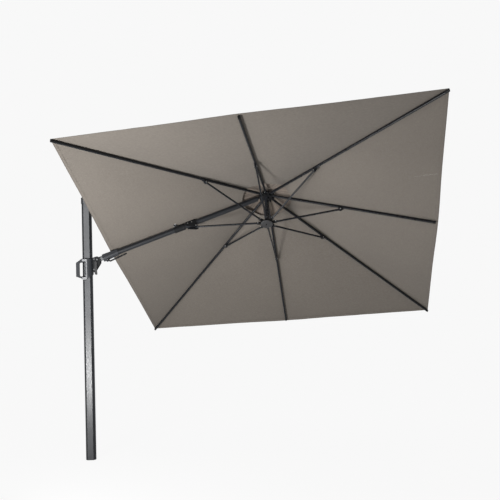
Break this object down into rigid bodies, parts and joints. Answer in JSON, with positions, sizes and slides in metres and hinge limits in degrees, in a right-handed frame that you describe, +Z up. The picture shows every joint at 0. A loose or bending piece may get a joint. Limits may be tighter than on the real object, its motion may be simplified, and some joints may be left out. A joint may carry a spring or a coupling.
{
  "type": "cantilever parasol",
  "caption": "Square garden parasol hung from a tilting side arm: a slider on the mast folds it, the arm turns to tilt the canopy, and ribs fold onto a post.",
  "frame": {"origin": "centre of the flat foot of the mast, where it stands in its base", "axes": "+Z up along the mast, +X from the mast towards the canopy along the arm, +Y away from the side with the levers"},
  "size_m": [3.5655, 3.0719, 2.8846],
  "materials": {
    "anthracite": "powder-coated, anthracite",
    "black": "moulded, fine grain",
    "grey": "moulded, satin",
    "steel": "bright zinc",
    "fabric": "woven polyester, taupe"
  },
  "bodies": {
    "stand": {"mast_tube": "anthracite", "mast_foot_plug": "black", "mast_cap": "black"},
    "slider": {"slider_carriage": "grey", "slider_handle": "grey", "hinge_bracket": "black", "bracket_bolt_upper": "steel", "bracket_bolt_lower": "steel", "arm_pivot_bolt": "steel"},
    "slider_lever": {"slider_lever": "grey"},
    "arm_root": {"arm_knuckle": "grey", "swivel_collar": "black", "strut_pin": "steel"},
    "strut": {"strut": "anthracite"},
    "arm": {"grip_sleeve": "grey", "roll_lever_pin": "steel", "boom": "anthracite", "stretcher_clamp": "black", "clamp_bolt_1": "steel", "clamp_bolt_2": "steel", "canopy_edge_clip": "black", "canopy_panel_arm": "fabric"},
    "roll_lever": {"roll_lever": "black"},
    "crown": {"crown_hub": "black", "centre_post": "anthracite", "crown_cap": "black", "vent_cap": "fabric"},
    "runner": {"runner_hub": "black", "runner_disc": "grey"},
    "stretcher_arm": {"stretcher_arm": "anthracite"},
    "rib_outer": {"rib_outer": "anthracite", "rib_tip_outer": "black", "canopy_panel_outer": "fabric"},
    "stretcher_outer": {"stretcher_outer": "anthracite"},
    "rib_outer_rear": {"rib_outer_rear": "anthracite", "rib_tip_outer_rear": "black", "canopy_panel_outer_rear": "fabric"},
    "stretcher_outer_rear": {"stretcher_outer_rear": "anthracite"},
    "rib_rear": {"rib_rear": "anthracite", "rib_tip_rear": "black", "canopy_panel_rear": "fabric"},
    "stretcher_rear": {"stretcher_rear": "anthracite"},
    "rib_mast_rear": {"rib_mast_rear": "anthracite", "rib_tip_mast_rear": "black", "canopy_panel_mast_rear": "fabric"},
    "stretcher_mast_rear": {"stretcher_mast_rear": "anthracite"},
    "rib_mast_front": {"rib_mast_front": "anthracite", "rib_tip_mast_front": "black", "canopy_panel_mast_front": "fabric"},
    "stretcher_mast_front": {"stretcher_mast_front": "anthracite"},
    "rib_front": {"rib_front": "anthracite", "rib_tip_front": "black", "canopy_panel_front": "fabric"},
    "stretcher_front": {"stretcher_front": "anthracite"},
    "rib_outer_front": {"rib_outer_front": "anthracite", "rib_tip_outer_front": "black", "canopy_panel_outer_front": "fabric"},
    "stretcher_outer_front": {"stretcher_outer_front": "anthracite"}
  },
  "joints": [
    {"name": "slider_travel", "type": "slide", "parent": "stand", "child": "slider", "axis": [0, 0, 1], "range_m": [-1.054, 0]},
    {"name": "arm_pitch", "type": "hinge", "parent": "slider", "child": "arm_root", "pos_m": [0.096, 0, 1.88], "axis": [0, -1, 0], "range_deg": [0, 64.77]},
    {"name": "canopy_roll", "type": "hinge", "parent": "arm_root", "child": "arm", "pos_m": [0.096, 0, 1.88], "axis": [0.9441, 0, 0.3297], "range_deg": [0, 68.32], "deforming": ["canopy_panel_arm"]},
    {"name": "strut_swing", "type": "hinge", "parent": "arm_root", "child": "strut", "pos_m": [0.85225, 0, 2.18646], "axis": [0, 1, 0], "range_deg": [0, 131.83]},
    {"name": "crown_hinge", "type": "hinge", "parent": "arm", "child": "crown", "pos_m": [1.67815, 0.004, 2.43876], "axis": [0.1851, 0.8275, -0.5301], "range_deg": [0, 64.77], "deforming": ["vent_cap"]},
    {"name": "roll_lever_hinge", "type": "hinge", "parent": "arm", "child": "roll_lever", "pos_m": [0.19513, -0.02527, 1.87518], "axis": [0.1851, 0.8275, -0.5301], "range_deg": [0, 28]},
    {"name": "slider_lever_hinge", "type": "hinge", "parent": "slider", "child": "slider_lever", "pos_m": [0.084, -0.0409, 1.852], "axis": [0, -1, 0], "range_deg": [0, 35], "stiffness_Nm_per_rad": 0.5},
    {"name": "rib_outer_hinge", "type": "hinge", "parent": "crown", "child": "rib_outer", "pos_m": [1.79973, -0.01983, 2.44401], "axis": [0.1851, 0.8275, -0.5301], "range_deg": [0, 68.13], "deforming": ["canopy_panel_outer"]},
    {"name": "stretcher_outer_hinge", "type": "hinge", "parent": "rib_outer", "child": "stretcher_outer", "pos_m": [2.39364, -0.27034, 2.26039], "axis": [0.1851, 0.8275, -0.5301], "range_deg": [-153.18, 0]},
    {"name": "rib_outer_rear_hinge", "type": "hinge", "parent": "crown", "child": "rib_outer_rear", "pos_m": [1.79004, 0.01994, 2.42], "axis": [-0.5624, 0.721, -0.4048], "range_deg": [0, 73.61], "deforming": ["canopy_panel_outer_rear"]},
    {"name": "stretcher_outer_rear_hinge", "type": "hinge", "parent": "rib_outer_rear", "child": "stretcher_outer_rear", "pos_m": [2.29544, 0.20564, 2.04862], "axis": [-0.5624, 0.721, -0.4048], "range_deg": [-152.69, 0]},
    {"name": "rib_rear_hinge", "type": "hinge", "parent": "crown", "child": "rib_rear", "pos_m": [1.75042, 0.04339, 2.40852], "axis": [-0.9804, 0.1922, -0.0423], "range_deg": [0, 68.13], "deforming": ["canopy_panel_rear"]},
    {"name": "stretcher_rear_hinge", "type": "hinge", "parent": "rib_rear", "child": "stretcher_rear", "pos_m": [1.8491, 0.42783, 1.86846], "axis": [-0.9804, 0.1922, -0.0423], "range_deg": [-153.18, 0]},
    {"name": "rib_mast_rear_hinge", "type": "hinge", "parent": "crown", "child": "rib_mast_rear", "pos_m": [1.70407, 0.03679, 2.41629], "axis": [-0.8242, -0.4492, 0.3449], "range_deg": [0, 73.61], "deforming": ["canopy_panel_mast_rear"]},
    {"name": "stretcher_mast_rear_hinge", "type": "hinge", "parent": "rib_mast_rear", "child": "stretcher_mast_rear", "pos_m": [1.33865, 0.39323, 2.00732], "axis": [-0.8242, -0.4492, 0.3449], "range_deg": [-152.69, 0]},
    {"name": "rib_mast_front_hinge", "type": "hinge", "parent": "crown", "child": "rib_mast_front", "pos_m": [1.68784, -0.03576, 2.46277], "axis": [0.5624, -0.721, 0.4048], "range_deg": [0, 73.61], "deforming": ["canopy_panel_mast_front"]},
    {"name": "stretcher_mast_front_hinge", "type": "hinge", "parent": "rib_mast_front", "child": "stretcher_mast_front", "pos_m": [1.158, -0.41428, 2.52465], "axis": [0.5624, -0.721, 0.4048], "range_deg": [-152.69, 0]},
    {"name": "rib_front_hinge", "type": "hinge", "parent": "crown", "child": "rib_front", "pos_m": [1.72746, -0.05922, 2.47425], "axis": [0.9804, -0.1922, 0.0423], "range_deg": [0, 68.13], "deforming": ["canopy_panel_front"]},
    {"name": "stretcher_front_hinge", "type": "hinge", "parent": "rib_front", "child": "stretcher_front", "pos_m": [1.59561, -0.70527, 2.59437], "axis": [0.9804, -0.1922, 0.0423], "range_deg": [-153.18, 0]},
    {"name": "rib_outer_front_hinge", "type": "hinge", "parent": "crown", "child": "rib_outer_front", "pos_m": [1.77381, -0.05262, 2.46648], "axis": [0.8242, 0.4492, -0.3449], "range_deg": [0, 73.61], "deforming": ["canopy_panel_outer_front"]},
    {"name": "stretcher_outer_front_hinge", "type": "hinge", "parent": "rib_outer_front", "child": "stretcher_outer_front", "pos_m": [2.11478, -0.60187, 2.56595], "axis": [0.8242, 0.4492, -0.3449], "range_deg": [-152.69, 0]},
    {"name": "stretcher_arm_hinge", "type": "hinge", "parent": "arm", "child": "stretcher_arm", "pos_m": [1.05482, -0.03032, 2.1675], "axis": [0.1851, 0.8275, -0.5301], "range_deg": [0, 153.86]},
    {"name": "runner_slide", "type": "slide", "parent": "crown", "child": "runner", "axis": [-0.0669, -0.5276, -0.8469], "range_m": [0, 0.95529]}
  ],
  "couplings": [
    {"joint": "arm_pitch", "follows": "slider_travel", "rad_per_m": -1.0722},
    {"joint": "strut_swing", "follows": "slider_travel", "rad_per_m": -2.1826},
    {"joint": "crown_hinge", "follows": "slider_travel", "rad_per_m": -1.0722},
    {"joint": "rib_outer_hinge", "follows": "slider_travel", "rad_per_m": -1.1279},
    {"joint": "stretcher_outer_hinge", "follows": "slider_travel", "rad_per_m": 2.5362},
    {"joint": "rib_outer_rear_hinge", "follows": "slider_travel", "rad_per_m": -1.2186},
    {"joint": "stretcher_outer_rear_hinge", "follows": "slider_travel", "rad_per_m": 2.528},
    {"joint": "rib_rear_hinge", "follows": "slider_travel", "rad_per_m": -1.1279},
    {"joint": "stretcher_rear_hinge", "follows": "slider_travel", "rad_per_m": 2.5362},
    {"joint": "rib_mast_rear_hinge", "follows": "slider_travel", "rad_per_m": -1.2186},
    {"joint": "stretcher_mast_rear_hinge", "follows": "slider_travel", "rad_per_m": 2.528},
    {"joint": "rib_mast_front_hinge", "follows": "slider_travel", "rad_per_m": -1.2186},
    {"joint": "stretcher_mast_front_hinge", "follows": "slider_travel", "rad_per_m": 2.528},
    {"joint": "rib_front_hinge", "follows": "slider_travel", "rad_per_m": -1.1279},
    {"joint": "stretcher_front_hinge", "follows": "slider_travel", "rad_per_m": 2.5362},
    {"joint": "rib_outer_front_hinge", "follows": "slider_travel", "rad_per_m": -1.2186},
    {"joint": "stretcher_outer_front_hinge", "follows": "slider_travel", "rad_per_m": 2.528},
    {"joint": "stretcher_arm_hinge", "follows": "slider_travel", "rad_per_m": -2.5475},
    {"joint": "runner_slide", "follows": "slider_travel", "ratio": -0.90616}
  ]
}
